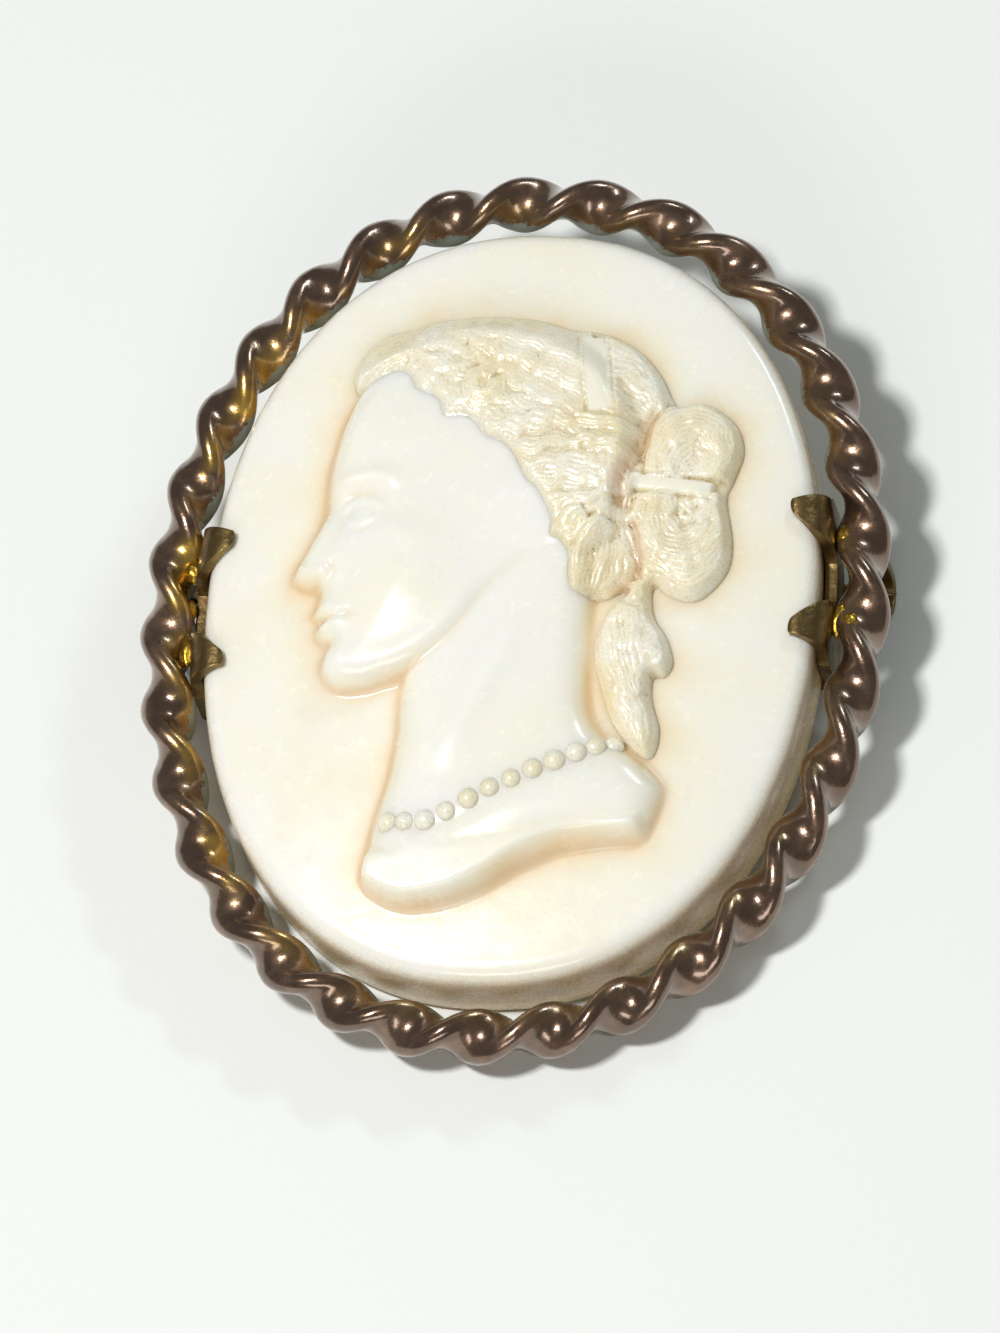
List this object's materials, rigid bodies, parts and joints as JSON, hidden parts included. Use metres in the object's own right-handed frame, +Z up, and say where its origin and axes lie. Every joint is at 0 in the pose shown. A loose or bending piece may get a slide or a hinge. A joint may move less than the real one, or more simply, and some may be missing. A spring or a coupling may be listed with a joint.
{
  "type": "cameo brooch",
  "caption": "Oval brooch: a carved shell cameo of a head in profile, held by claws in a twisted wire frame, with a pin and catch across the back.",
  "frame": {"origin": "bottom centre of the brooch's box, on the surface that it lies on", "axes": "+X along the closed pin to its point, +Y up the oval to the crown of the head, +Z up out of the carved face; the brooch leans about six degrees about X because it lies on the lower edge of the oval's back and on its hinge and catch"},
  "size_m": [0.0378, 0.0477, 0.0109],
  "materials": {
    "shell": "polished carved shell, cream with warm edges",
    "frame_metal": "brown patina with brass showing through",
    "pin_metal": "dull worn brass"
  },
  "bodies": {
    "root": {"cameo": "shell", "setting": "frame_metal", "pin": "pin_metal"}
  },
  "joints": []
}
